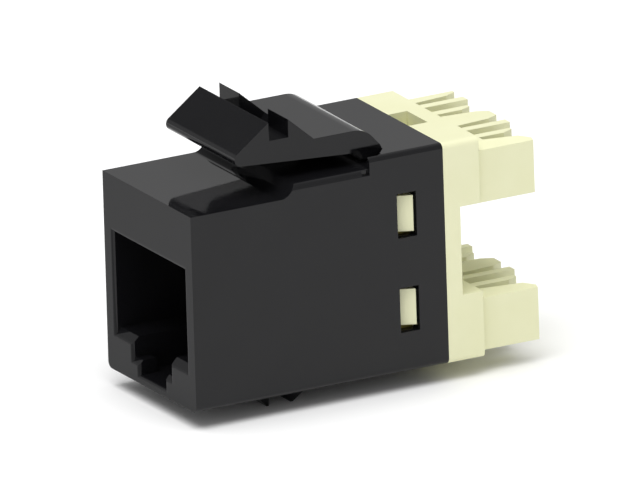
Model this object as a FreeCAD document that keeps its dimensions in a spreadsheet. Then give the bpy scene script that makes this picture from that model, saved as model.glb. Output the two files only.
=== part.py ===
import FreeCAD, Part
import math
import os
import Sketcher

# Keystone jack for eight-wire data cable.
#
# X runs across the jack, Y runs back from the front face, Z is up.
# Every piece is drawn with heights measured from the underside of the housing, and is then
# placed so that the origin is the middle of the plug opening, on the front face.

SIZES = {
    # How far one feature runs into the next, and how far a cut from above starts above it
    "overlap": 0.5,
    "cut_headroom": 2.0,
    # Front housing, outside
    "housing_width": 14.5,
    "housing_length": 22.6,
    "front_deck_height": 16.2,
    "middle_deck_height": 17.25,
    "rear_deck_height": 18.2,
    "riser_end": 9.5,
    "riser_angle": 50.0,
    "riser_foot_radius": 1.0,
    "rear_step": 16.05,
    "bottom_edge_radius": 0.55,
    "rear_deck_edge_radius": 0.45,
    "middle_deck_edge_radius": 0.6,
    # Plug socket
    "socket_half_width": 5.9,
    "socket_roof": 11.5,
    "socket_floor": 3.5,
    "tab_slot_half_width": 3.15,
    "tab_slot_floor": 1.82,
    "tab_groove_half_width": 2.15,
    "tab_groove_floor": 0.65,
    "mouth_edge_radius": 0.3,
    "shoulder_slope": 0.6,
    "tab_ledge_slope": 0.4,
    "front_lip": 1.6,
    # Inner chamber behind the socket
    "chamber_start": 13.4,
    "chamber_half_width": 6.15,
    "chamber_floor": 1.05,
    "chamber_headroom": 2.05,
    "chamber_rear_start": 18.45,
    "chamber_rear_roof": 17.1,
    "contact_recess_half_width": 4.5,
    "contact_recess_front": 4.2,
    "wire_headroom": 0.36,
    # Side windows, in pairs above and below the window line
    "window_front": 18.4,
    "window_rear": 20.1,
    "window_line": 9.07,
    "window_near": 2.05,
    "window_far": 5.73,
    # Lugs under the housing, which hook behind the panel
    "lug_half_width": 4.5,
    "lug_drop": 1.5,
    "front_lug_start": 6.4,
    "front_lug_end": 7.9,
    "rear_lug_start": 9.85,
    "rear_lug_end": 12.1,
    "lug_tip": 0.2,
    # Well and groove for the latch root
    "well_half_width": 6.9,
    "well_end": 18.15,
    "well_corner_width": 1.3,
    "well_corner_depth": 1.15,
    "step_relief_half_width": 6.95,
    "step_relief_front": 15.4,
    "step_relief_depth": 0.45,
    "pivot_back": 16.95,
    "pivot_height": 16.75,
    "pivot_radius": 0.8,
    "pivot_half_width": 5.0,
    "pivot_clearance": 0.1,
    "neck_foot_rise": 0.5,
    "neck_thickness": 0.9,
    # Panel latch
    "latch_half_width": 5.65,
    "latch_lift": 1.92,
    "latch_tip_radius": 0.57,
    "latch_tip_depth": 1.13,
    "ramp_angle": 36.4,
    "ramp_top": 8.03,
    "ramp_rise": 2.01,
    "panel_slot_lift": 0.53,
    "panel_slot_width": 1.75,
    "ear_run": 2.25,
    "ear_inner": 2.35,
    "arm_under_end": 15.46,
    "arm_end_depth": 1.84,
    "arm_step": 0.2,
    "root_depth": 1.56,
    "roll_start": 15.57,
    "roll_radius": 2.2,
    "roll_angle": 41.2,
    "roll_end": 18.08,
    "roll_end_radius": 0.4,
    "roll_depth": 2.28,
    "root_half_width": 5.53,
    "root_hollow_radius": 1.6,
    "tool_notch_depth": 1.0,
    "tool_notch_angle": 49.0,
    # Contact carrier
    "carrier_half_width": 6.05,
    "carrier_gap": 0.1,
    "carrier_lip": 0.05,
    "nose_back": 5.6,
    "nose_height": 12.0,
    "nose_radius": 0.5,
    "nose_half_width": 4.35,
    "comb_front": 12.2,
    "comb_floor": 7.7,
    "comb_slot_width": 0.56,
    "step_down_front": 15.6,
    # Contact wires
    "wire_pitch": 1.016,
    "wire_thickness": 0.38,
    "wire_running_gap": 0.05,
    "arm_angle": 23.0,
    "arm_length": 7.1,
    "knee_radius": 1.2,
    "tip_run": 0.25,
    "low_row_drop": 1.5,
    "low_row_bend_angle": 45.0,
    "low_row_bend": 0.55,
    "low_row_start": 17.7,
    "pin_proud": 0.5,
    # Circuit board
    "board_front": 18.5,
    "board_thickness": 1.6,
    "board_half_width": 6.0,
    "board_gap": 0.15,
    "arm_notch_gap": 0.1,
    "wire_hole_radius": 0.29,
    "tail_hole_radius": 0.43,
    # Punch-down contacts
    "blade_thickness": 0.5,
    "blade_half_width": 0.95,
    "blade_start": 23.2,
    "blade_end": 28.9,
    "blade_height": 6.45,
    "blade_slot_half_width": 0.15,
    "blade_slot_start": 25.6,
    "blade_mouth": 0.35,
    "tail_half_width": 0.3,
    "blade_fit": 0.05,
    # Termination block
    "flange_depth": 3.2,
    "flange_edge_radius": 0.5,
    "gap_floor": 5.5,
    "gap_roof": 12.76,
    "gap_plate": 1.4,
    "bank_half_width": 6.65,
    "bank_end": 31.0,
    "upper_bank_floor": 12.55,
    "upper_bank_top": 17.3,
    "lower_bank_floor": 0.42,
    "lower_bank_top": 5.15,
    "outer_wall_drop": 0.45,
    "upper_slot_start": 27.1,
    "pair_middle": 3.465,
    "wire_slot_spacing": 3.53,
    "wire_slot_width": 0.63,
    "pair_slot_width": 1.26,
    "slot_taper": 0.3,
    "slot_flare": 0.47,
    "slot_flare_length": 0.93,
    "short_fin_cut": 0.73,
    "top_recess_half_width": 1.7,
    "top_recess_rear": 24.3,
    "top_recess_depth": 2.1,
    "spigot_half_width": 4.95,
    "spigot_gap": 0.2,
    "snap_arm_thickness": 0.9,
    "snap_gap": 0.1,
    "snap_front": 18.45,
    "snap_rear": 19.95,
    "snap_near": 2.38,
    "snap_far": 5.33,
    "snap_front_proud": 0.3,
    "snap_rear_proud": 0.95,
}

document = FreeCAD.newDocument("KeystoneJack")
sheet = document.addObject("Spreadsheet::Sheet", "Sizes")
for row, (alias, number) in enumerate(SIZES.items(), start=1):
    sheet.set(f"A{row}", alias)
    sheet.set(f"B{row}", str(number))
    sheet.setAlias(f"B{row}", alias)
document.recompute()


class Size:
    """A length with its value now and the sheet formula that keeps it up to date."""

    def __init__(self, value, formula):
        self.value = value
        self.formula = formula

    def __add__(self, other):
        other = as_size(other)
        return Size(self.value + other.value, f"({self.formula} + {other.formula})")

    def __sub__(self, other):
        other = as_size(other)
        return Size(self.value - other.value, f"({self.formula} - {other.formula})")

    def __mul__(self, other):
        other = as_size(other)
        return Size(self.value * other.value, f"({self.formula} * {other.formula})")

    def __truediv__(self, other):
        other = as_size(other)
        return Size(self.value / other.value, f"({self.formula} / {other.formula})")

    def __neg__(self):
        return Size(-self.value, f"(-1 * {self.formula})")


def as_size(number):
    """A plain number becomes a size whose formula is that number."""
    return number if isinstance(number, Size) else Size(float(number), repr(float(number)))


def size(alias):
    """The size that the sheet holds under this name."""
    return Size(float(SIZES[alias]), f"Sizes.{alias}")


def sine(degrees):
    """Sine of an angle held in the sheet as plain degrees."""
    return Size(math.sin(math.radians(degrees.value)), f"sin({degrees.formula} * 1 deg)")


def cosine(degrees):
    """Cosine of an angle held in the sheet as plain degrees."""
    return Size(math.cos(math.radians(degrees.value)), f"cos({degrees.formula} * 1 deg)")


# Shared positions, worked out from the sizes above

zero = as_size(0.0)
wire_numbers = range(1, 9)
middle_number = sum(wire_numbers) / len(wire_numbers)
half_width = size("housing_width") / 2
housing_back = size("housing_length")
front_deck = size("front_deck_height")
middle_deck = size("middle_deck_height")
rear_deck = size("rear_deck_height")
plug_axis_height = (size("socket_floor") + size("socket_roof")) / 2
board_back = size("board_front") + size("board_thickness")
wire_half = size("wire_thickness") / 2
bend_radius = size("nose_radius") + size("wire_running_gap") + wire_half
lead_height = size("nose_height") + bend_radius
low_row_height = lead_height - size("low_row_drop")
carrier_top = size("nose_height") + size("nose_radius") + size("carrier_lip")
arm_height = rear_deck + size("latch_lift")
ramp_height = arm_height + size("ramp_rise")
latch_under = arm_height - size("latch_tip_depth")
window_line = size("window_line")
flange_back = housing_back + size("flange_depth")
clear_above = ramp_height + size("cut_headroom")
fit = size("blade_fit")
overlap = size("overlap")


# Drawing helpers

def new_piece(label):
    """A body of its own for one piece, placed so that the plug opening is at the origin."""
    body = document.addObject("PartDesign::Body", label)
    body.Label = label
    body.Placement = FreeCAD.Placement(
        FreeCAD.Vector(0, 0, -plug_axis_height.value), FreeCAD.Rotation())
    body.setExpression(".Placement.Base.z", (-plug_axis_height).formula)
    return body


def new_sketch(body, name, plane, offset=zero):
    """A sketch on one of the body's own planes, moved along the plane's normal."""
    sketch = body.newObject("Sketcher::SketchObject", name)
    support = [item for item in body.Origin.OriginFeatures if item.Role == plane][0]
    sketch.AttachmentSupport = [(support, "")]
    sketch.MapMode = "FlatFace"
    sketch.AttachmentOffset = FreeCAD.Placement(
        FreeCAD.Vector(0, 0, offset.value), FreeCAD.Rotation())
    sketch.setExpression(".AttachmentOffset.Base.z", offset.formula)
    return sketch


def pin_point(sketch, geometry, end, across, up):
    """Hold one end of a line or arc at a place given by two sizes."""
    for kind, place in (("DistanceX", across), ("DistanceY", up)):
        index = sketch.addConstraint(
            Sketcher.Constraint(kind, -1, 1, geometry, end, place.value))
        sketch.setExpression(f"Constraints[{index}]", place.formula)


def draw_line(sketch, start, stop):
    """A straight edge, pinned at its start."""
    first = FreeCAD.Vector(start[0].value, start[1].value, 0)
    last = FreeCAD.Vector(stop[0].value, stop[1].value, 0)
    edge = sketch.addGeometry(Part.LineSegment(first, last), False)
    pin_point(sketch, edge, 1, start[0], start[1])
    return edge, 1, 2


def draw_arc(sketch, start, stop, radius, turn):
    """An arc of less than half a circle. It turns left when turn is 1 and right when -1."""
    first = FreeCAD.Vector(start[0].value, start[1].value, 0)
    last = FreeCAD.Vector(stop[0].value, stop[1].value, 0)
    chord = last - first
    reach = math.sqrt(max(radius.value ** 2 - (chord.Length / 2) ** 2, 0))
    left = FreeCAD.Vector(-chord.y, chord.x, 0).normalize()
    centre = (first + last) / 2 + left * reach * turn
    begin, finish = (first, last) if turn > 0 else (last, first)
    angles = [math.atan2(point.y - centre.y, point.x - centre.x) for point in (begin, finish)]
    circle = Part.Circle(centre, FreeCAD.Vector(0, 0, 1), radius.value)
    edge = sketch.addGeometry(Part.ArcOfCircle(circle, angles[0], angles[1]), False)
    start_end, stop_end = (1, 2) if turn > 0 else (2, 1)
    pin_point(sketch, edge, start_end, start[0], start[1])
    index = sketch.addConstraint(Sketcher.Constraint("Radius", edge, radius.value))
    sketch.setExpression(f"Constraints[{index}]", radius.formula)
    return edge, start_end, stop_end


def draw_path(sketch, points, closed=True):
    """Lines and arcs through points. A point (x, y, radius, turn) starts an arc."""
    points = [tuple(as_size(item) for item in point[:3]) + tuple(point[3:]) for point in points]
    edges = []
    count = len(points) if closed else len(points) - 1
    for index in range(count):
        start = points[index]
        stop = points[(index + 1) % len(points)]
        if len(start) == 4:
            edges.append(draw_arc(sketch, start, stop, start[2], start[3]))
        else:
            edges.append(draw_line(sketch, start, stop))
    for this, following in zip(edges, edges[1:]):
        sketch.addConstraint(
            Sketcher.Constraint("Coincident", this[0], this[2], following[0], following[1]))
    if closed:
        last, first = edges[-1], edges[0]
        sketch.addConstraint(
            Sketcher.Constraint("Coincident", last[0], last[2], first[0], first[1]))
    else:
        pin_point(sketch, edges[-1][0], edges[-1][2], points[-1][0], points[-1][1])


def draw_rectangle(sketch, left, bottom, right, top):
    """A rectangle between two corners."""
    draw_path(sketch, [(left, bottom), (right, bottom), (right, top), (left, top)])


def draw_circle(sketch, across, up, radius):
    """A circle whose centre and radius follow the sheet."""
    across, up, radius = as_size(across), as_size(up), as_size(radius)
    circle = Part.Circle(
        FreeCAD.Vector(across.value, up.value, 0), FreeCAD.Vector(0, 0, 1), radius.value)
    edge = sketch.addGeometry(circle, False)
    pin_point(sketch, edge, 3, across, up)
    index = sketch.addConstraint(Sketcher.Constraint("Radius", edge, radius.value))
    sketch.setExpression(f"Constraints[{index}]", radius.formula)


def extrude(body, kind, name, sketch, length, symmetric=False, reverse=False):
    """A pad or a pocket whose length follows the sheet."""
    feature = body.newObject(f"PartDesign::{kind}", name)
    feature.Profile = sketch
    feature.Length = length.value
    feature.setExpression("Length", length.formula)
    feature.SideType = "Symmetric" if symmetric else "One side"
    feature.Reversed = reverse
    return feature


def side_pad(body, name, half_thickness, *outlines):
    """A pad drawn in side view, Y across and Z up, equal on both sides of the middle."""
    sketch = new_sketch(body, f"{name}_sketch", "YZ_Plane")
    for points in outlines:
        draw_path(sketch, points)
    return extrude(body, "Pad", name, sketch, half_thickness * 2, symmetric=True)


def side_cut(body, name, half_thickness, *outlines):
    """A pocket drawn in side view, equal on both sides of the middle."""
    sketch = new_sketch(body, f"{name}_sketch", "YZ_Plane")
    for points in outlines:
        draw_path(sketch, points)
    return extrude(body, "Pocket", name, sketch, half_thickness * 2, symmetric=True)


def front_cut(body, name, front, depth, *outlines):
    """A pocket drawn in front view, X across and Z up, from front towards the back."""
    sketch = new_sketch(body, f"{name}_sketch", "XZ_Plane", -front)
    for points in outlines:
        draw_path(sketch, points)
    return extrude(body, "Pocket", name, sketch, depth)


def front_pad(body, name, front, depth, *outlines):
    """A pad drawn in front view, from front towards the back."""
    sketch = new_sketch(body, f"{name}_sketch", "XZ_Plane", -front)
    for points in outlines:
        draw_path(sketch, points)
    return extrude(body, "Pad", name, sketch, depth, reverse=True)


def plan_pad(body, name, floor, height, *outlines):
    """A pad drawn in plan, X across and Y up the page, from floor upwards."""
    sketch = new_sketch(body, f"{name}_sketch", "XY_Plane", floor)
    for points in outlines:
        draw_path(sketch, points)
    return extrude(body, "Pad", name, sketch, height)


def plan_cut(body, name, top, depth, *outlines):
    """A pocket drawn in plan, from top downwards."""
    sketch = new_sketch(body, f"{name}_sketch", "XY_Plane", top)
    for points in outlines:
        draw_path(sketch, points)
    return extrude(body, "Pocket", name, sketch, depth)


def box_path(left, bottom, right, top):
    """The four corners of a rectangle, for a path."""
    return [(left, bottom), (right, bottom), (right, top), (left, top)]


def mirrored(points):
    """The same path on the other side of the middle, drawn the other way round."""
    flipped = [(-as_size(point[0]), point[1]) for point in points]
    return list(reversed(flipped))


def edges_where(feature, test):
    """Names of the edges whose middle passes a test."""
    names = []
    for index, edge in enumerate(feature.Shape.Edges, start=1):
        middle = edge.valueAt((edge.FirstParameter + edge.LastParameter) / 2)
        if test(edge, middle):
            names.append(f"Edge{index}")
    return names


def near(value, target):
    """True when two numbers agree to a hundredth."""
    goal = target.value if isinstance(target, Size) else target
    hundredth = 0.01
    return abs(value - goal) < hundredth


def runs_back(edge):
    """True for a straight edge that runs along Y."""
    if edge.Curve.TypeId != "Part::GeomLine":
        return False
    return near(abs(edge.Curve.Direction.y), 1)


def round_edges(body, name, base, radius, test):
    """A fillet on every edge that passes a test."""
    document.recompute()
    fillet = body.newObject("PartDesign::Fillet", name)
    fillet.Base = (base, edges_where(base, test))
    fillet.Radius = radius.value
    fillet.setExpression("Radius", radius.formula)
    return fillet


# Front housing: one moulding, open at the front for the plug and at the back for the insert

def socket_outline():
    """The stepped plug opening in front view. The plug goes in with its tab down."""
    wide = size("socket_half_width")
    slot = size("tab_slot_half_width")
    groove = size("tab_groove_half_width")
    top = size("socket_roof")
    shoulder = size("socket_floor")
    slot_floor = size("tab_slot_floor")
    groove_floor = size("tab_groove_floor")
    return [
        (-wide, top), (-wide, shoulder), (-slot, shoulder), (-slot, slot_floor),
        (-groove, slot_floor), (-groove, groove_floor), (groove, groove_floor),
        (groove, slot_floor), (slot, slot_floor), (slot, shoulder), (wide, shoulder), (wide, top),
    ]


def make_housing():
    """Shell with stepped decks, plug socket, lugs, windows and the well for the latch."""
    body = new_piece("front_housing")
    lean = size("riser_angle")
    foot_radius = size("riser_foot_radius")
    foot = size("riser_end") - (middle_deck - front_deck) * cosine(lean) / sine(lean)
    tangent = foot_radius * (as_size(1.0) - cosine(lean)) / sine(lean)

    side_pad(body, "shell", half_width, [
        (zero, zero), (housing_back, zero), (housing_back, rear_deck),
        (size("rear_step"), rear_deck), (size("rear_step"), middle_deck),
        (size("riser_end"), middle_deck),
        (foot + tangent * cosine(lean), front_deck + tangent * sine(lean), foot_radius, -1),
        (foot - tangent, front_deck), (zero, front_deck),
    ])
    shell = body.Tip

    def on_side(middle):
        return near(abs(middle.x), half_width)

    bottom = round_edges(
        body, "bottom_edges", shell, size("bottom_edge_radius"),
        lambda edge, middle: runs_back(edge) and on_side(middle) and near(middle.z, 0))
    rear_edges = round_edges(
        body, "rear_deck_edges", bottom, size("rear_deck_edge_radius"),
        lambda edge, middle: runs_back(edge) and on_side(middle) and near(middle.z, rear_deck))
    round_edges(
        body, "middle_deck_edges", rear_edges, size("middle_deck_edge_radius"),
        lambda edge, middle: runs_back(edge) and on_side(middle) and near(middle.z, middle_deck))

    # Lugs that hold the panel's lower edge between them
    tip = size("lug_tip")
    drop = -size("lug_drop")
    side_pad(
        body, "panel_lugs", size("lug_half_width"),
        [(size("front_lug_start"), overlap), (size("front_lug_start"), zero),
         (size("front_lug_end") - tip, drop), (size("front_lug_end"), drop),
         (size("front_lug_end"), overlap)],
        [(size("rear_lug_start"), overlap), (size("rear_lug_start"), drop),
         (size("rear_lug_start") + tip, drop), (size("rear_lug_end"), zero),
         (size("rear_lug_end"), overlap)])

    # Plug socket, straight through to the chamber, with sloping fronts on its shoulders and
    # its tab ledges, and a rounded edge all round its mouth
    front_cut(body, "socket", zero, size("chamber_start"), socket_outline())
    for name, half, height, slope in (
            ("shoulder_slopes", size("socket_half_width"), size("socket_floor"),
             size("shoulder_slope")),
            ("tab_ledge_slopes", size("tab_slot_half_width"), size("tab_slot_floor"),
             size("tab_ledge_slope"))):
        socket = side_cut(body, name, half, [
            (-overlap, height - slope - overlap), (slope + overlap, height + overlap),
            (-overlap, height + overlap)])
    side_limit = size("socket_half_width") + overlap
    low_limit = size("tab_groove_floor") - overlap
    high_limit = size("socket_roof") + overlap
    round_edges(
        body, "mouth_edges", socket, size("mouth_edge_radius"),
        lambda edge, middle: near(middle.y, 0) and abs(middle.x) < side_limit.value
        and low_limit.value < middle.z < high_limit.value)

    # The plug's tab springs down into this catch behind the front lip
    front_cut(
        body, "tab_catch", size("front_lip"), size("chamber_start") - size("front_lip"),
        box_path(-size("tab_slot_half_width"), size("tab_groove_floor"),
                 size("tab_slot_half_width"), size("socket_floor")))

    # Chamber for the insert, open at the back, and the recess over the contact wires
    front_cut(
        body, "chamber", size("chamber_start"), housing_back - size("chamber_start"),
        box_path(-size("chamber_half_width"), size("chamber_floor"),
                 size("chamber_half_width"), carrier_top + size("chamber_headroom")))
    front_cut(
        body, "chamber_rear", size("chamber_rear_start"),
        housing_back - size("chamber_rear_start"),
        box_path(-size("chamber_half_width"), size("chamber_floor"),
                 size("chamber_half_width"), size("chamber_rear_roof")))
    front_cut(
        body, "contact_recess", size("contact_recess_front"),
        size("chamber_start") - size("contact_recess_front"),
        box_path(-size("contact_recess_half_width"), size("socket_roof") - overlap,
                 size("contact_recess_half_width"),
                 lead_height + wire_half + size("wire_headroom")))

    # Side windows for the snap tabs, the same above and below the window line
    near_edge = size("window_near")
    far_edge = size("window_far")
    side_cut(
        body, "windows", half_width + overlap,
        box_path(size("window_front"), window_line + near_edge,
                 size("window_rear"), window_line + far_edge),
        box_path(size("window_front"), window_line - far_edge,
                 size("window_rear"), window_line - near_edge))

    # Small notch in each side edge, at the foot of the rear step
    relief = box_path(size("step_relief_half_width"), size("step_relief_front"),
                      half_width + overlap, size("rear_step"))
    plan_cut(
        body, "step_reliefs", middle_deck + overlap, size("step_relief_depth") + overlap,
        relief, mirrored(relief))

    # Well in the rear deck, with slanting rear corners, and the groove the latch turns in
    well_width = size("well_half_width")
    well_end = size("well_end")
    well_side = [
        (well_width, size("rear_step")), (well_width, well_end - size("well_corner_depth")),
        (well_width - size("well_corner_width"), well_end)]
    plan_cut(
        body, "latch_well", clear_above, clear_above - middle_deck,
        well_side + mirrored(well_side))
    groove = new_sketch(body, "pivot_groove_sketch", "YZ_Plane")
    draw_circle(
        groove, size("pivot_back"), size("pivot_height"),
        size("pivot_radius") + size("pivot_clearance"))
    extrude(
        body, "Pocket", "pivot_groove", groove,
        (size("pivot_half_width") + size("pivot_clearance")) * 2, symmetric=True)

    return body


# Panel latch: a sprung lever that the thumb or a screwdriver presses to free the panel

def make_latch():
    """Arm with an entry ramp, the panel slot, two ears and a root that turns in its groove."""
    body = new_piece("panel_latch")
    slot_front = size("ramp_top")
    slot_back = slot_front + size("panel_slot_width")
    ear_end = slot_back + size("ear_run")
    root_height = arm_height - size("root_depth")
    roll_under = arm_height - size("roll_depth")
    slot_floor = arm_height + size("panel_slot_lift")

    # The tip is a round that the ramp leaves tangent
    slope = size("ramp_angle")
    tip = size("latch_tip_radius")
    tip_height = latch_under + tip
    ramp_drop = ramp_height - tip * cosine(slope) - tip_height
    ramp_length = ramp_drop / sine(slope)
    tip_back = slot_front - ramp_length * cosine(slope) + tip * sine(slope)
    ramp_foot = (tip_back - tip * sine(slope), tip_height + tip * cosine(slope))

    # The root rolls over and leans down to a small round end
    lean = size("roll_angle")
    roll = size("roll_radius")
    roll_foot = (
        size("roll_start") + roll * cosine(lean), arm_height - roll + roll * sine(lean))
    end = size("roll_end_radius")
    end_back = size("roll_end") - end
    end_top = (end_back + end * cosine(lean), roll_under + end + end * sine(lean))
    root_share = (roll_foot[1] - root_height) / (roll_foot[1] - end_top[1])
    root_back = roll_foot[0] + (end_top[0] - roll_foot[0]) * root_share
    step_back = size("arm_under_end") + size("arm_step")

    side_pad(body, "arm", size("latch_half_width"), [
        (ramp_foot[0], ramp_foot[1], tip, 1),
        (tip_back, latch_under),
        (size("arm_under_end"), arm_height - size("arm_end_depth")),
        (step_back, root_height),
        (root_back, root_height),
        (roll_foot[0], roll_foot[1], roll, 1),
        (size("roll_start"), arm_height),
        (ear_end, arm_height),
        (slot_back, ramp_height),
        (slot_back, slot_floor),
        (slot_front, slot_floor),
        (slot_front, ramp_height),
    ])

    # Notch between the ears, where a blade lifts or presses the latch
    notch_floor = arm_height - size("tool_notch_depth")
    notch_angle = size("tool_notch_angle")
    notch_run = size("tool_notch_depth") * cosine(notch_angle) / sine(notch_angle)
    side_cut(body, "tool_notch", size("ear_inner"), [
        (slot_front, clear_above), (slot_front, notch_floor),
        (ear_end - notch_run, notch_floor), (ear_end, arm_height), (ear_end, clear_above)])

    # Narrower root: a hollow-fronted neck under the roll, and the round bead at its foot
    pivot_back = size("pivot_back")
    pivot_height = size("pivot_height")
    neck_front = pivot_back - size("neck_thickness") / 2
    neck_rear = pivot_back + size("neck_thickness") / 2
    neck_top = pivot_height + size("pivot_radius")
    side_pad(body, "neck", size("root_half_width"), [
        (neck_front, neck_top),
        (neck_rear, neck_top),
        (end_back, roll_under, end, 1),
        end_top,
        (root_back, root_height),
        (step_back, root_height, size("root_hollow_radius"), -1),
    ])
    side_pad(
        body, "neck_foot", size("pivot_half_width"),
        box_path(neck_front, pivot_height, neck_rear, neck_top + size("neck_foot_rise")))
    bead = new_sketch(body, "bead_sketch", "YZ_Plane")
    draw_circle(bead, pivot_back, pivot_height, size("pivot_radius"))
    extrude(body, "Pad", "bead", bead, size("pivot_half_width") * 2, symmetric=True)
    return body


# Contact carrier: holds the eight plug contacts in the chamber

def wire_offset(number):
    """Distance of a contact wire from the middle of the jack."""
    return size("wire_pitch") * (number - middle_number)


def make_carrier():
    """Block behind the socket with a rounded nose, a comb for the tips and wire grooves."""
    body = new_piece("contact_carrier")
    gap = size("carrier_gap")
    front = size("chamber_start") + gap
    back = size("board_front")
    nose_half = size("nose_radius")
    nose_back = size("nose_back")
    nose_height = size("nose_height")

    shoulder = size("snap_front") - gap
    front_pad(
        body, "block", front, shoulder - front,
        box_path(-size("carrier_half_width"), size("chamber_floor") + gap,
                 size("carrier_half_width"), carrier_top))
    front_pad(
        body, "board_stop", shoulder, back - shoulder,
        box_path(-size("nose_half_width"), size("chamber_floor") + gap,
                 size("nose_half_width"), carrier_top))
    side_pad(body, "nose", size("nose_half_width"), [
        (nose_back, nose_height - nose_half), (front + overlap, nose_height - nose_half),
        (front + overlap, nose_height + nose_half), (nose_back, nose_height + nose_half)])
    round_nose = new_sketch(body, "nose_round_sketch", "YZ_Plane")
    draw_circle(round_nose, nose_back, nose_height, nose_half)
    extrude(
        body, "Pad", "nose_round", round_nose, size("nose_half_width") * 2, symmetric=True)
    side_pad(
        body, "comb", size("nose_half_width"),
        box_path(size("comb_front"), size("comb_floor"),
                 front + overlap, nose_height - nose_half))

    # Room at the back for every other wire to drop to the lower row of board holes
    side_cut(
        body, "step_down", size("nose_half_width"),
        box_path(size("step_down_front"), low_row_height - wire_half - gap,
                 back, clear_above))

    # One groove along the top and one slot in the comb for each wire
    slot = size("comb_slot_width") / 2
    grooves = []
    slots = []
    for number in wire_numbers:
        middle = wire_offset(number)
        grooves.append(box_path(
            middle - slot, lead_height - wire_half - gap, middle + slot, clear_above))
        slots.append(box_path(
            middle - slot, size("comb_floor") - overlap, middle + slot,
            nose_height - nose_half))
    front_cut(body, "wire_grooves", front, back - front, *grooves)
    front_cut(body, "comb_slots", size("comb_front"), front - size("comb_front"), *slots)
    return body


# Contact wires: square spring wire, gold plated, one piece from board pin to free tip

def contact_path(low):
    """Side view of a wire, from its board pin over the nose and back down to its tip."""
    slope = size("arm_angle")
    nose_back = size("nose_back")
    nose_height = size("nose_height")
    bend_end = (nose_back - bend_radius * sine(slope), nose_height - bend_radius * cosine(slope))
    arm = size("arm_length")
    knee_start = (bend_end[0] + arm * cosine(slope), bend_end[1] - arm * sine(slope))
    knee = size("knee_radius")
    knee_end = (
        knee_start[0] + knee * sine(slope),
        knee_start[1] + knee * cosine(slope) - knee)
    pin_end = board_back + size("pin_proud")

    if low:
        bend = size("low_row_bend")
        corner = size("low_row_bend_angle")
        start = size("low_row_start")
        rise = lead_height - low_row_height
        ramp = (rise - bend * 2 * (as_size(1.0) - cosine(corner))) / sine(corner)
        first_end = (
            start - bend * sine(corner), low_row_height + bend - bend * cosine(corner))
        second_start = (
            first_end[0] - ramp * cosine(corner), first_end[1] + ramp * sine(corner))
        second_end = (second_start[0] - bend * sine(corner), lead_height)
        lead = [
            (pin_end, low_row_height), (start, low_row_height, bend, -1), first_end,
            (second_start[0], second_start[1], bend, 1), second_end]
    else:
        lead = [(pin_end, lead_height)]
    front_turn = (nose_back - bend_radius, nose_height)
    return lead + [
        (nose_back, lead_height, bend_radius, 1),
        (front_turn[0], front_turn[1], bend_radius, 1),
        bend_end,
        (knee_start[0], knee_start[1], knee, 1),
        knee_end,
        (knee_end[0] + size("tip_run"), knee_end[1])]


def make_wire(number):
    """One contact wire, swept along its path. Even wires go to the lower row of holes."""
    body = new_piece(f"contact_wire_{number}")
    low = number % 2 == 0
    middle = wire_offset(number)
    path = new_sketch(body, f"path_{number}", "YZ_Plane", middle)
    draw_path(path, contact_path(low), closed=False)
    section = new_sketch(
        body, f"section_{number}", "XZ_Plane", -(board_back + size("pin_proud")))
    height = low_row_height if low else lead_height
    draw_rectangle(
        section, middle - wire_half, height - wire_half, middle + wire_half,
        height + wire_half)
    document.recompute()
    wire = body.newObject("PartDesign::AdditivePipe", f"wire_{number}")
    wire.Profile = section
    wire.Spine = (path, [f"Edge{index + 1}" for index in range(len(path.Shape.Edges))])
    return body


# Circuit board: carries the signals from the plug contacts to the punch-down contacts

def blade_places():
    """Number, side position and height of each punch-down contact."""
    places = []
    for height in (window_line + size("blade_height"), window_line - size("blade_height")):
        for pair in (-size("pair_middle"), size("pair_middle")):
            for side in (-size("wire_slot_spacing") / 2, size("wire_slot_spacing") / 2):
                places.append((len(places) + 1, pair + side, height))
    return places


def make_board():
    """Upright board, notched for the snap arms, with a hole for every pin and tail."""
    body = new_piece("circuit_board")
    gap = size("board_gap")
    edge = size("board_half_width")
    notch = size("chamber_half_width") - size("snap_gap") - size("snap_arm_thickness")
    notch = notch - size("arm_notch_gap")
    near_edge = size("snap_near") - size("arm_notch_gap")
    far_edge = size("snap_far") + size("arm_notch_gap")
    bottom = size("chamber_floor") + gap
    top = size("chamber_rear_roof") - gap
    right = [
        (edge, bottom), (edge, window_line - far_edge), (notch, window_line - far_edge),
        (notch, window_line - near_edge), (edge, window_line - near_edge),
        (edge, window_line + near_edge), (notch, window_line + near_edge),
        (notch, window_line + far_edge), (edge, window_line + far_edge), (edge, top)]
    front_pad(
        body, "board", size("board_front"), size("board_thickness"), right + mirrored(right))
    holes = new_sketch(body, "holes_sketch", "XZ_Plane", -size("board_front"))
    for number in wire_numbers:
        height = low_row_height if number % 2 == 0 else lead_height
        draw_circle(holes, wire_offset(number), height, size("wire_hole_radius"))
    for number, across, height in blade_places():
        draw_circle(holes, across, height, size("tail_hole_radius"))
    extrude(body, "Pocket", "holes", holes, size("board_thickness"))
    return body


# Punch-down contacts: flat slotted blades that cut into a wire's insulation

def make_blade(number, across, height):
    """One blade with two tines, and the tail that goes through the board."""
    body = new_piece(f"idc_contact_{number}")
    tail = size("tail_half_width")
    tail_front = size("board_front")
    blade = size("blade_half_width")
    slot = size("blade_slot_half_width")
    mouth = slot + size("blade_mouth") / 2
    throat = size("blade_end") - size("blade_mouth")
    right = [
        (tail, tail_front), (tail, size("blade_start")),
        (blade, size("blade_start")), (blade, size("blade_end")),
        (mouth, size("blade_end")), (slot, throat), (slot, size("blade_slot_start"))]
    outline = [(across + x, y) for x, y in right]
    outline += [(across - x, y) for x, y in reversed(right)]
    half = size("blade_thickness") / 2
    plan_pad(body, f"blade_{number}", height - half, size("blade_thickness"), outline)
    return body


# Termination block: the cream moulding that the cable's wires are punched into

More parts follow.
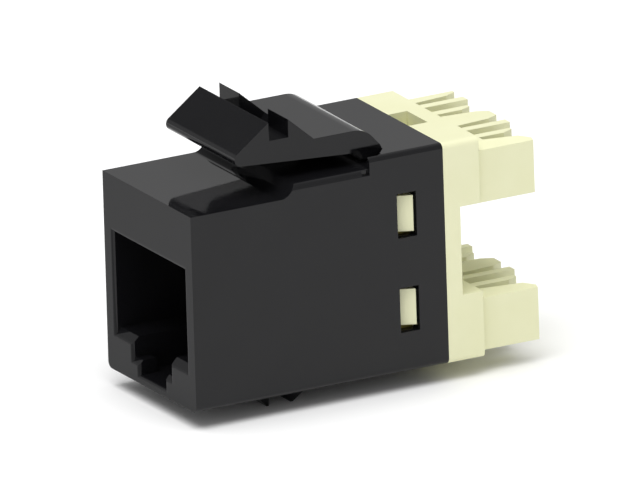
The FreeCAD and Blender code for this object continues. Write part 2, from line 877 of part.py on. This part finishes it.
def wire_slot(middle, away, start):
    """Plan of one wire slot. The wall away from the pair's middle tapers, then flares."""
    half = size("wire_slot_width") / 2
    back = size("bank_end")
    past = back + overlap
    flare_start = back - size("slot_flare_length")
    outer = middle + half * away
    tapered = outer + size("slot_taper") * away
    flared = tapered + size("slot_flare") * away
    points = [
        (middle - half * away, start), (outer, start), (tapered, flare_start),
        (flared, back), (flared, past), (middle - half * away, past)]
    return points if away > 0 else list(reversed(points))


def pair_slots(middle, start):
    """Plan of the two wire slots of one pair and the wide slot between them."""
    spread = size("wire_slot_spacing") / 2
    half = size("pair_slot_width") / 2
    past = size("bank_end") + overlap
    return [
        wire_slot(middle - spread, -1, start), wire_slot(middle + spread, 1, start),
        box_path(middle - half, start, middle + half, past)]


def fin_end(middle):
    """Plan of what is cut off the shorter fin of one pair, with the end it is left with."""
    spread = size("wire_slot_spacing") / 2
    past = size("bank_end") + overlap
    fin_back = size("bank_end") - size("short_fin_cut")
    fin_face = middle + spread - size("wire_slot_width") / 2
    flare_start = fin_back - size("slot_flare_length")
    return [
        (middle, fin_back), (fin_face - size("slot_flare"), fin_back), (fin_face, flare_start),
        (middle + spread, flare_start), (middle + spread, past), (middle, past)]


def make_block():
    """Base that closes the housing, two banks with wire slots, and four snap arms."""
    body = new_piece("termination_block")
    front = housing_back
    plate_back = front + size("gap_plate")
    top = rear_deck
    side_pad(body, "base", half_width, [
        (front, zero), (flange_back, zero), (flange_back, size("gap_floor")),
        (plate_back, size("gap_floor")), (plate_back, size("gap_roof")),
        (flange_back, size("gap_roof")), (flange_back, top), (front, top)])
    base = body.Tip
    round_edges(
        body, "base_edges", base, size("flange_edge_radius"),
        lambda edge, middle: runs_back(edge) and near(abs(middle.x), half_width) and (
            near(middle.z, 0) or near(middle.z, top)))

    # Banks, a little narrower than the base, with one outer wall sloping off at the top
    side_pad(
        body, "banks", size("bank_half_width"),
        box_path(flange_back, size("upper_bank_floor"),
                 size("bank_end"), size("upper_bank_top")),
        box_path(flange_back, size("lower_bank_floor"),
                 size("bank_end"), size("lower_bank_top")))
    wall_inner = size("pair_middle") + size("wire_slot_spacing") / 2
    wall_inner = wall_inner + size("wire_slot_width") / 2
    drop = size("outer_wall_drop")
    slopes = []
    for height in (size("upper_bank_top"), size("lower_bank_top")):
        slopes.append([
            (wall_inner, height), (size("bank_half_width"), height - drop),
            (size("bank_half_width"), height)])
    front_cut(body, "wall_slopes", flange_back, size("bank_end") - flange_back, *slopes)

    # Wire and pair slots, cut through each bank from top to bottom. The lower bank's
    # reach in as far as the base.
    middle = size("pair_middle")
    split = size("gap_floor")
    for bank, height, depth, start in (
            ("upper", rear_deck, rear_deck - split, size("upper_slot_start")),
            ("lower", split, split, flange_back)):
        outlines = pair_slots(-middle, start) + pair_slots(middle, start)
        plan_cut(body, f"{bank}_slots", height, depth, *outlines)
    plan_cut(body, "fin_ends", rear_deck, rear_deck, fin_end(-middle), fin_end(middle))

    # Recess in the top of the base, open towards the housing
    plan_cut(
        body, "top_recess", top, size("top_recess_depth"),
        box_path(-size("top_recess_half_width"), front,
                 size("top_recess_half_width"), size("top_recess_rear")))

    # Spigot that fills the chamber behind the board, between the snap arms
    gap = size("spigot_gap")
    front_pad(
        body, "spigot", board_back, front - board_back,
        box_path(-size("spigot_half_width"), size("chamber_floor") + gap,
                 size("spigot_half_width"), size("chamber_rear_roof") - gap))
    margin = size("wire_pitch") / 2
    front_cut(
        body, "pin_relief", board_back, size("pin_proud") + gap,
        box_path(-size("nose_half_width"), low_row_height - margin,
                 size("nose_half_width"), lead_height + margin))

    # Snap arms: the hook's outer face leans in towards its front
    outer_face = size("chamber_half_width") - size("snap_gap")
    inner_face = outer_face - size("snap_arm_thickness")
    arm = [
        (inner_face, front + overlap), (inner_face, size("snap_front")),
        (outer_face + size("snap_front_proud"), size("snap_front")),
        (outer_face + size("snap_rear_proud"), size("snap_rear")),
        (outer_face, size("snap_rear")), (outer_face, front + overlap)]
    depth = size("snap_far") - size("snap_near")
    for name, floor in (("upper", window_line + size("snap_near")),
                        ("lower", window_line - size("snap_far"))):
        plan_pad(body, f"{name}_snap_arms", floor, depth, arm, mirrored(arm))

    # Passages for the blades and their narrower tails
    wide = size("blade_half_width") + fit
    tail = size("tail_half_width") + fit
    half = size("blade_thickness") / 2 + fit
    blades = []
    tails = []
    for number, across, height in blade_places():
        blades.append(box_path(across - wide, height - half, across + wide, height + half))
        tails.append(box_path(across - tail, height - half, across + tail, height + half))
    front_cut(
        body, "blade_slots", size("blade_start") - fit,
        size("blade_end") - size("blade_start") + fit * 2, *blades)
    front_cut(
        body, "tail_holes", board_back, size("blade_start") - board_back, *tails)
    return body


pieces = [make_housing(), make_latch(), make_carrier()]
pieces += [make_wire(number) for number in wire_numbers]
pieces.append(make_board())
pieces += [make_blade(number, across, height) for number, across, height in blade_places()]
pieces.append(make_block())
document.recompute()

# Every feature has to have worked, and every piece has to be one sound solid

for item in document.Objects:
    bad = [word for word in item.State if word in ("Invalid", "Error")]
    if bad:
        raise RuntimeError(f"{item.Label} is {bad[0]}")
for piece in pieces:
    shape = piece.Shape
    if shape.isNull() or not shape.isValid():
        raise RuntimeError(f"{piece.Label} has no sound shape")
    if len(shape.Solids) != 1:
        raise RuntimeError(f"{piece.Label} has {len(shape.Solids)} solids")

os.makedirs("parts", exist_ok=True)
for piece in pieces:
    piece.Shape.exportStep(f"parts/{piece.Label}.step")
    print(piece.Label, round(piece.Shape.Volume, 3))
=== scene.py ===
# %% [markdown]
# # A keystone jack
#
# This lesson dresses a small wall-plate connector. The solid model arrives ready made, in
# metres, and stays where it is. What is left for Blender is what the eye reads as moulded
# plastic, plated wire, laminate and tin, and a plain studio to see them in.

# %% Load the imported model
import math

import bpy
from mathutils import Matrix, Vector


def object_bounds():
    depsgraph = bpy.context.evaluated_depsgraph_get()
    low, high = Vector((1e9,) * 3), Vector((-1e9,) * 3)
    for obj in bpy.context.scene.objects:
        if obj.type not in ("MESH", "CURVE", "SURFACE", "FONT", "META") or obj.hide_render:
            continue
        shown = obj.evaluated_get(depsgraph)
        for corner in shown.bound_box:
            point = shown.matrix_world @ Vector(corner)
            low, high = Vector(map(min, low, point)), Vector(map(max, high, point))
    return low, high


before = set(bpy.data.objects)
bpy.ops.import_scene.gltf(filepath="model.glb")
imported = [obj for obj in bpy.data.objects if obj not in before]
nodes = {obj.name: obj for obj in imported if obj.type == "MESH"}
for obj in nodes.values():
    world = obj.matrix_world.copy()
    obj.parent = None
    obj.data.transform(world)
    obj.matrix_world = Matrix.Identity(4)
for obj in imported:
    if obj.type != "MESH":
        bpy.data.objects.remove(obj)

cad_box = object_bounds()
scene = bpy.context.scene
MILLIMETRE = 0.001
print("nodes in the frame:", len(nodes))

# %% [markdown]
# ## The camera
#
# The picture has no vanishing points: edges that are parallel on the jack stay parallel in
# it. That calls for an orthographic camera. A perspective camera a long way off would do
# nearly the same, but an orthographic one has a single number for its scale, the width of
# the view, which was worked out from the jack's own 14.5 mm width.

# %% Camera
VIEW_WIDTH = 50.25 * MILLIMETRE
VIEW_RIGHT = Vector((0.4773, 0.8782, -0.0300)).normalized()
VIEW_BACK = Vector((0.8402, -0.4461, 0.3084)).normalized()
VIEW_CENTRE = Vector((-0.025, 15.315, 2.126)) * MILLIMETRE
CAMERA_DISTANCE = 0.3
CLIP_NEAR = 0.01
CLIP_FAR = 5.0


def camera_axes(right, back):
    """A rotation whose X, Y and Z axes are the picture's right, up and towards the eye."""
    up = back.cross(right).normalized()
    right = up.cross(back)
    return Matrix((right, up, back)).transposed()


camera_data = bpy.data.cameras.new("camera")
camera_data.type = "ORTHO"
camera_data.ortho_scale = VIEW_WIDTH
camera_data.clip_start = CLIP_NEAR
camera_data.clip_end = CLIP_FAR
camera = bpy.data.objects.new("camera", camera_data)
scene.collection.objects.link(camera)
camera.matrix_world = Matrix.LocRotScale(
    VIEW_CENTRE + VIEW_BACK * CAMERA_DISTANCE,
    camera_axes(VIEW_RIGHT, VIEW_BACK), Vector((1, 1, 1)))
scene.camera = camera
elevation = math.degrees(math.asin(VIEW_BACK.z))
view_mm = VIEW_WIDTH / MILLIMETRE
print(f"camera looks down at {elevation:.1f} degrees, view {view_mm:.2f} mm wide")

# %% [markdown]
# ## Node trees
#
# Every material and the world are node trees. One function adds a node with its settings and
# fills its inputs. An input is called by its name, or by its number where several share one
# name: _0 is the first. Adding nodes by hand in the editor gives the same trees, but code
# can be read and changed in one place.
#
# A mix node mixes numbers, vectors or colours, and has sockets for each kind. Its share goes
# in at 0, its two colours at 6 and 7, and the mixed colour comes out at 2.

# %% Add a node
COLOUR_MIX = {"data_type": "RGBA"}
MIXED = 2


def add_node(tree, kind, settings=None, **inputs):
    """Add one node. An input takes a value, a socket, or a node for its first output."""
    node = tree.nodes.new(kind)
    for name, value in (settings or {}).items():
        setattr(node, name, value)
    for name, value in inputs.items():
        socket = node.inputs[int(name[1:]) if name[1:].isdigit() else name.replace("_", " ")]
        if isinstance(value, bpy.types.Node):
            value = value.outputs[0]
        if isinstance(value, bpy.types.NodeSocket):
            tree.links.new(value, socket)
        else:
            socket.default_value = value
    return node


print("a mixed colour comes out of a mix node at", MIXED)

# %% [markdown]
# ## Key light
#
# Black plastic shows its form mostly by what it mirrors, and cream plastic by how much light
# falls on each side. One wide, soft key light from above gives the tops their level. It is a
# sun lamp, which is as strong everywhere, so it has no distance to balance as an area lamp
# has. The Standard view transform shows a colour about as it is written.

# %% Key light
scene.view_settings.view_transform = "Standard"

KEY_DIRECTION = Vector((0.15, -0.20, 0.97))
KEY_STRENGTH = 2.5
KEY_SPREAD = math.radians(55)

key_data = bpy.data.lights.new("key_light", "SUN")
key_data.energy = KEY_STRENGTH
key_data.angle = KEY_SPREAD
key = bpy.data.objects.new("key_light", key_data)
scene.collection.objects.link(key)
key.rotation_mode = "QUATERNION"
key.rotation_quaternion = KEY_DIRECTION.to_track_quat("Z", "Y")
print("key light strength", KEY_STRENGTH)

# %% [markdown]
# ## The room
#
# The world does the rest. On the jack's right, +X, it is evenly bright, like a big window.
# On its left it has one dark ring, the way a studio has a dark wall above the table: the flat
# black tops mirror the part below that ring, and the latch's ramp mirrors the ring itself,
# so it turns darker. Behind the jack, +Y, it is dim, so little light shines into the open
# ends of the slots and they keep their depth. A ring of area lamps and black flags could do
# the same, with more numbers to balance.
#
# Each level goes with a height, from 0 at the horizon to 1 straight up. The two sides blend
# between -TURN and TURN along X, and turn dim from BACK_START to BACK_END along Y.

# %% World, by height above the horizon and by side
LEFT_LEVELS = ((0.43, 0.50), (0.48, 0.15), (0.56, 0.15), (0.63, 0.62))
RIGHT_LEVELS = ((0.30, 0.58), (0.50, 0.50))
TURN = 0.3
BACK_LEVEL = 0.12
BACK_START = 0.55
BACK_END = 0.75

world = bpy.data.worlds.new("studio")
scene.world = world
world.use_nodes = True
room = world.node_tree
room.nodes.clear()
direction = add_node(room, "ShaderNodeTexCoord").outputs["Generated"]
heading = add_node(room, "ShaderNodeSeparateXYZ", Vector=direction)
sides = []
for levels in (LEFT_LEVELS, RIGHT_LEVELS):
    side = add_node(room, "ShaderNodeValToRGB", Fac=heading.outputs["Z"])
    stops = side.color_ramp.elements
    while len(stops) < len(levels):
        stops.new(0.5)  # any place will do, because each stop is moved next
    for stop, (height, level) in zip(stops, levels):
        stop.position = height
        stop.color = (level, level, level, 1.0)
    sides.append(side)
to_right = add_node(
    room, "ShaderNodeMapRange", _0=heading.outputs["X"], _1=-TURN, _2=TURN)
to_back = add_node(
    room, "ShaderNodeMapRange", _0=heading.outputs["Y"], _1=BACK_START, _2=BACK_END)
around = add_node(
    room, "ShaderNodeMix", COLOUR_MIX, _0=to_right, _6=sides[0], _7=sides[1])
sky = add_node(
    room, "ShaderNodeMix", COLOUR_MIX, _0=to_back, _6=around.outputs[MIXED],
    _7=(BACK_LEVEL, BACK_LEVEL, BACK_LEVEL, 1.0))
background = add_node(room, "ShaderNodeBackground", Color=sky.outputs[MIXED])
add_node(room, "ShaderNodeOutputWorld", Surface=background)
print("world stops, left and right:", len(LEFT_LEVELS), len(RIGHT_LEVELS))

# %% [markdown]
# ## Colours
#
# Colours are picked as sRGB hex values, the way a paint chart or a picture editor gives
# them. Shaders add light, so they need linear numbers, and one function makes the change,
# with the sRGB standard's own numbers.

# %% Hex to linear


def linear(hex_colour):
    """An sRGB hex colour as a linear RGBA tuple."""
    parts = [int(hex_colour[start:start + 2], 16) / 255 for start in (1, 3, 5)]
    return tuple(
        part / 12.92 if part <= 0.04045 else ((part + 0.055) / 1.055) ** 2.4
        for part in parts) + (1.0,)


print("middle grey in linear numbers:", [round(part, 3) for part in linear("#808080")])

# %% [markdown]
# ## Starting and finishing a material
#
# Each material starts from an empty node tree and the jack's own coordinates in metres, so a
# pattern's scale is one over a real length. It ends in one Principled shader. The solids
# arrive in plain materials, and dressing a node puts the new one in the plain one's place.

# %% Start, finish and put on a material


def new_material(name):
    """A material with an empty node tree and the object's own coordinates in metres."""
    material = bpy.data.materials.new(name)
    material.use_nodes = True
    tree = material.node_tree
    tree.nodes.clear()
    place = add_node(tree, "ShaderNodeTexCoord").outputs["Object"]
    return material, tree, place


def finish_material(tree, **inputs):
    """Close a node tree with one Principled shader."""
    shader = add_node(tree, "ShaderNodeBsdfPrincipled", **inputs)
    add_node(tree, "ShaderNodeOutputMaterial", Surface=shader)


def dress(material, *names):
    """Give CAD nodes a material in place of the plain one that they arrive with."""
    for name in names:
        data = nodes[name].data
        data.materials.clear()
        data.materials.append(material)
    print(material.name, "on", len(names), "node(s)")


print("plain materials that arrived:", len(bpy.data.materials))

# %% [markdown]
# ## A colour that drifts
#
# No moulded or plated surface has quite one colour, so a noise mixes two close ones. Noise
# seldom comes near 0 or 1, so its middle range is spread out, a narrower one for colours than
# for gloss. A colour ramp could do the same, but its stops aren't inputs of the node.

# %% Mix two close colours along a pattern
NOISE_ROUGHNESS = 0.55
DRIFT_LOW = 0.35
DRIFT_HIGH = 0.65
GLOSS_LOW = 0.3
GLOSS_HIGH = 0.7


def drifting_colour(tree, pattern, light, deep):
    """A colour that wanders from a light to a deep one along a pattern."""
    share = add_node(
        tree, "ShaderNodeMapRange", _0=pattern, _1=DRIFT_LOW, _2=DRIFT_HIGH)
    mix = add_node(
        tree, "ShaderNodeMix", COLOUR_MIX, _0=share, _6=linear(light), _7=linear(deep))
    return mix.outputs[MIXED]


print("a colour drifts over pattern values from", DRIFT_LOW, "to", DRIFT_HIGH)

# %% [markdown]
# ## Moulded plastic
#
# Two things show on any moulded piece: faint clouds of colour where the melt flowed, a few
# millimetres wide, and the grain of the tool, which sets how soft its mirror images are. The
# real grain is about 0.03 mm, too fine for this view, so it is drawn at 0.09 mm. The sharpest
# corners are rounded by a few hundredths of a millimetre, too little to model, so a bevel node
# bends the shading there instead.

# %% Moulded plastic
FLOW_SIZE = 4.0 * MILLIMETRE
GRAIN_SIZE = 0.09 * MILLIMETRE
RELIEF_HEIGHT = 0.01 * MILLIMETRE
CORNER_RADIUS = 0.03 * MILLIMETRE
CORNER_SAMPLES = {"samples": 6}


def moulded_plastic(name, colours, roughness, relief, ior):
    """Plastic with flow clouds in its colour and the tool's grain in its gloss."""
    material, tree, place = new_material(name)
    clouds, pits = [
        add_node(
            tree, "ShaderNodeTexNoise", Vector=place, Scale=1.0 / size,
            Roughness=NOISE_ROUGHNESS)
        for size in (FLOW_SIZE, GRAIN_SIZE)]
    smooth, dull = roughness
    dullness = add_node(
        tree, "ShaderNodeMapRange", _0=pits, _1=GLOSS_LOW, _2=GLOSS_HIGH, _3=smooth, _4=dull)
    corners = add_node(tree, "ShaderNodeBevel", CORNER_SAMPLES, Radius=CORNER_RADIUS)
    surface = add_node(
        tree, "ShaderNodeBump", Strength=relief, Distance=RELIEF_HEIGHT, Height=pits,
        Normal=corners)
    finish_material(
        tree, Base_Color=drifting_colour(tree, clouds, *colours), Roughness=dullness,
        IOR=ior, Normal=surface)
    return material


for pattern, size in (("flow clouds", FLOW_SIZE), ("grain", GRAIN_SIZE)):
    print(f"{pattern} drawn at {size / MILLIMETRE:.2f} mm")

# %% [markdown]
# ## Black moulded shell and latch
#
# The housing and the latch are moulded in black ABS from a well polished tool, so the
# plastic has a gloss: the deck mirrors the latch above it. What is left of the tool's
# grinding is a very shallow grain, which keeps the mirror images a little soft, on the latch
# a little softer than on the shell. The plastic's colour is nearly black; the greys in the
# picture are reflections. ABS has an IOR of about 1.54, which mirrors more than the picture
# shows, so it was taken down to 1.37.

# %% Black ABS
BLACK_SHELL = ("#141416", "#121214")
BLACK_LATCH = ("#131315", "#111113")
SHELL_ROUGHNESS = (0.015, 0.065)
LATCH_ROUGHNESS = (0.10, 0.15)
ABS_RELIEF = 0.03
ABS_IOR = 1.37

shell = moulded_plastic(
    "black_abs_shell", BLACK_SHELL, SHELL_ROUGHNESS, ABS_RELIEF, ABS_IOR)
dress(shell, "front_housing")
latch = moulded_plastic(
    "black_abs_latch", BLACK_LATCH, LATCH_ROUGHNESS, ABS_RELIEF, ABS_IOR)
dress(latch, "panel_latch")

# %% [markdown]
# ## The insert inside
#
# The block that carries the contacts is moulded in PBT with short glass fibre. The fibre
# ends float near the surface and make it drier and a little speckled next to the shell. A
# fibre is only about 0.01 mm thick, so a speck is drawn at 0.12 mm. Specks come from the top
# of the noise's range alone, which keeps them few.

# %% Glass-filled PBT
PBT_BLACK = "#19191A"
PBT_FIBRE = "#3A3A3B"
FIBRE_SIZE = 0.12 * MILLIMETRE
FIBRE_DETAIL = 4.0
SPECK_START = 0.62
SPECK_END = 0.72
SPECK_SHARE = 0.5
PBT_ROUGHNESS = 0.6
PBT_RELIEF = 0.25
PBT_IOR = 1.57


def glass_filled_pbt(name):
    """Dry black plastic with pale fibre ends showing here and there."""
    material, tree, place = new_material(name)
    fibre = add_node(
        tree, "ShaderNodeTexNoise", Vector=place, Scale=1.0 / FIBRE_SIZE,
        Detail=FIBRE_DETAIL, Roughness=NOISE_ROUGHNESS)
    specks = add_node(
        tree, "ShaderNodeMapRange", _0=fibre, _1=SPECK_START, _2=SPECK_END, _4=SPECK_SHARE)
    colour = add_node(
        tree, "ShaderNodeMix", COLOUR_MIX, _0=specks, _6=linear(PBT_BLACK),
        _7=linear(PBT_FIBRE))
    surface = add_node(
        tree, "ShaderNodeBump", Strength=PBT_RELIEF, Distance=RELIEF_HEIGHT, Height=fibre)
    finish_material(
        tree, Base_Color=colour.outputs[MIXED], Roughness=PBT_ROUGHNESS, IOR=PBT_IOR,
        Normal=surface)
    return material


dress(glass_filled_pbt("black_pbt_glass_filled"), "contact_carrier")

# %% [markdown]
# ## Contact wires
#
# The spring wires are phosphor bronze, plated with gold so that they never tarnish. Drawing
# the wire through a die leaves faint lines along it, and the plating keeps them. A noise that
# hardly changes along the wire makes them. The real lines are a few thousandths of a
# millimetre wide, so they are drawn at 0.05 mm. Gold has no colour of its own under the
# reflection: the base colour is the reflection's tint.

# %% Gold plate
GOLD = ("#F2CE7C", "#DDB25A")
GOLD_ROUGHNESS = (0.18, 0.32)
DRAWN_LINE = 0.05 * MILLIMETRE
WIRE_SQUEEZE = 0.06
WIRES = [f"contact_wire_{number}" for number in range(1, 9)]


def plated_metal(name, colours, roughness, line_size, squeeze):
    """Plated bronze whose tint and gloss both follow fine lines along the piece."""
    material, tree, place = new_material(name)
    squeezed = add_node(
        tree, "ShaderNodeMapping", Vector=place, Scale=(1.0, squeeze, 1.0))
    lines = add_node(
        tree, "ShaderNodeTexNoise", Vector=squeezed, Scale=1.0 / line_size,
        Roughness=NOISE_ROUGHNESS)
    smooth, dull = roughness
    dullness = add_node(
        tree, "ShaderNodeMapRange", _0=lines, _1=GLOSS_LOW, _2=GLOSS_HIGH, _3=smooth, _4=dull)
    finish_material(
        tree, Base_Color=drifting_colour(tree, lines, *colours), Metallic=1.0,
        Roughness=dullness)
    return material


gold_plate = plated_metal(
    "gold_plated_bronze", GOLD, GOLD_ROUGHNESS, DRAWN_LINE, WIRE_SQUEEZE)
dress(gold_plate, *WIRES)

# %% [markdown]
# ## Circuit board
#
# The board is FR-4, glass cloth in epoxy, with green solder mask on both faces. Its sawn
# edges have no mask, so they show the resin's olive gold. That edge is the only part of the
# board that the picture shows, as a strip in the side window. The faces look along Y, so the
# surface's own direction tells them from the edges. The glass cloth's threads are about
# 0.5 mm apart and print through the mask as a very low weave, two crossed waves.

# %% FR-4 laminate
MASK = ("#1F6B34", "#175529")
RESIN = ("#A89A4A", "#8C7F38")
RESIN_CLOUD = 1.5 * MILLIMETRE
THREAD_SPACING = 0.5 * MILLIMETRE
WEAVE_RELIEF = 0.3
FACE_START = 0.5
FACE_END = 0.7
SAWN_ROUGHNESS = 0.65
MASK_ROUGHNESS = 0.32
LAMINATE_IOR = 1.55


def laminate(name):
    """Green mask over a low weave on the faces, bare olive resin on the edges."""
    material, tree, place = new_material(name)
    normal = add_node(tree, "ShaderNodeNewGeometry").outputs["Normal"]
    steps = add_node(tree, "ShaderNodeSeparateXYZ", Vector=normal)
    facing = add_node(
        tree, "ShaderNodeMath", {"operation": "ABSOLUTE"}, _0=steps.outputs["Y"])
    on_face = add_node(
        tree, "ShaderNodeMapRange", _0=facing, _1=FACE_START, _2=FACE_END)
    axes = add_node(tree, "ShaderNodeSeparateXYZ", Vector=place)
    threads = []
    for axis in ("X", "Z"):
        wave = add_node(
            tree, "ShaderNodeMath", {"operation": "MULTIPLY"}, _0=axes.outputs[axis],
            _1=math.pi / THREAD_SPACING)
        threads.append(add_node(tree, "ShaderNodeMath", {"operation": "SINE"}, _0=wave))
    weave = add_node(
        tree, "ShaderNodeMath", {"operation": "MULTIPLY"}, _0=threads[0], _1=threads[1])
    clouds = add_node(
        tree, "ShaderNodeTexNoise", Vector=place, Scale=1.0 / RESIN_CLOUD,
        Roughness=NOISE_ROUGHNESS)
    resin, mask = [
        add_node(
            tree, "ShaderNodeMix", COLOUR_MIX, _0=clouds, _6=linear(light), _7=linear(deep))
        for light, deep in (RESIN, MASK)]
    colour = add_node(
        tree, "ShaderNodeMix", COLOUR_MIX, _0=on_face, _6=resin.outputs[MIXED],
        _7=mask.outputs[MIXED])
    dullness = add_node(
        tree, "ShaderNodeMapRange", _0=on_face, _3=SAWN_ROUGHNESS, _4=MASK_ROUGHNESS)
    surface = add_node(
        tree, "ShaderNodeBump", Strength=WEAVE_RELIEF, Distance=RELIEF_HEIGHT, Height=weave)
    finish_material(
        tree, Base_Color=colour.outputs[MIXED], Roughness=dullness, IOR=LAMINATE_IOR,
        Normal=surface)
    return material


dress(laminate("fr4_green_mask"), "circuit_board")

# %% [markdown]
# ## Punch-down blades
#
# Each blade is stamped from thin phosphor bronze and tinned. Tin is a soft grey metal: it
# mirrors dimly, and the stamping leaves light streaks along the blade. They are made as the
# wires' lines are, but wider and duller.

# %% Tinned bronze
TIN = ("#D6D5D0", "#BDBCB7")
TIN_ROUGHNESS = (0.3, 0.46)
STREAK_SIZE = 0.12 * MILLIMETRE
BLADE_SQUEEZE = 0.08
BLADES = [f"idc_contact_{number}" for number in range(1, 9)]

tin_plate = plated_metal(
    "tinned_phosphor_bronze", TIN, TIN_ROUGHNESS, STREAK_SIZE, BLADE_SQUEEZE)
dress(tin_plate, *BLADES)

# %% [markdown]
# ## Cream termination block
#
# The block is polycarbonate in a pale cream. Polycarbonate is tough enough for a punch-down
# tool. Its slots stay warm and not too dark, because light bounces between their pale walls
# and takes on more of the cream each time. The block is duller than the shell: its tool was
# finished by spark erosion, which leaves an even grain of fine pits.

# %% Cream polycarbonate
CREAM = ("#E9E9C2", "#E6E6BD")
CREAM_ROUGHNESS = (0.42, 0.54)
CREAM_RELIEF = 0.12
CREAM_IOR = 1.58

block = moulded_plastic(
    "cream_polycarbonate", CREAM, CREAM_ROUGHNESS, CREAM_RELIEF, CREAM_IOR)
dress(block, "termination_block")

# %% [markdown]
# ## The table
#
# The jack stands on its panel lugs, so the floor is level with the lugs' tips. It is white
# card: matte, and nearly as bright as the key light allows, so that the background comes out
# white by its colour alone and the soft shadow stays.

# %% Floor
CARD_ROUGHNESS = 0.9
FLOOR_HALF = 1.2
FLOOR_COLOUR = "#FAFAFA"


def card_sheet(name, finish, colour, height, front_left, back_right):
    """A level rectangle of card between two corners, with no gloss at all."""
    left, front = front_left
    right, back = back_right
    mesh = bpy.data.meshes.new(name)
    mesh.from_pydata(
        [(left, front, height), (right, front, height),
         (right, back, height), (left, back, height)],
        [], [(0, 1, 2, 3)])
    material, tree, _ = new_material(finish)
    finish_material(
        tree, Base_Color=linear(colour), Roughness=CARD_ROUGHNESS, Specular_IOR_Level=0.0)
    mesh.materials.append(material)
    sheet = bpy.data.objects.new(name, mesh)
    scene.collection.objects.link(sheet)
    return sheet


floor_level = cad_box[0].z
floor = card_sheet(
    "floor", "white_card", FLOOR_COLOUR, floor_level, (-FLOOR_HALF, -FLOOR_HALF),
    (FLOOR_HALF, FLOOR_HALF))
print(f"floor at {floor_level / MILLIMETRE:.2f} mm")

# %% [markdown]
# ## A grey card for the front face
#
# The front face leans away from the eye and mirrors the table in front of it, which would
# turn it much paler than the other black faces. A photographer lays a grey card there, just
# outside the picture. This one is hidden from the camera, casts no shadow and throws no soft
# light back, so only the reflections know about it.

# %% Grey card
CARD_COLOUR = "#BCBCBC"
CARD_LIFT = 0.05 * MILLIMETRE
CARD_REACH = 0.16
CARD_RIGHT = 0.008
CARD_BACK = -0.001

grey_card = card_sheet(
    "grey_card", "grey_card", CARD_COLOUR, floor_level + CARD_LIFT,
    (-CARD_REACH, -CARD_REACH), (CARD_RIGHT, CARD_BACK))
grey_card.visible_camera = False
grey_card.visible_diffuse = False
grey_card.visible_shadow = False
print("grey card", CARD_COLOUR, "seen by reflections only")
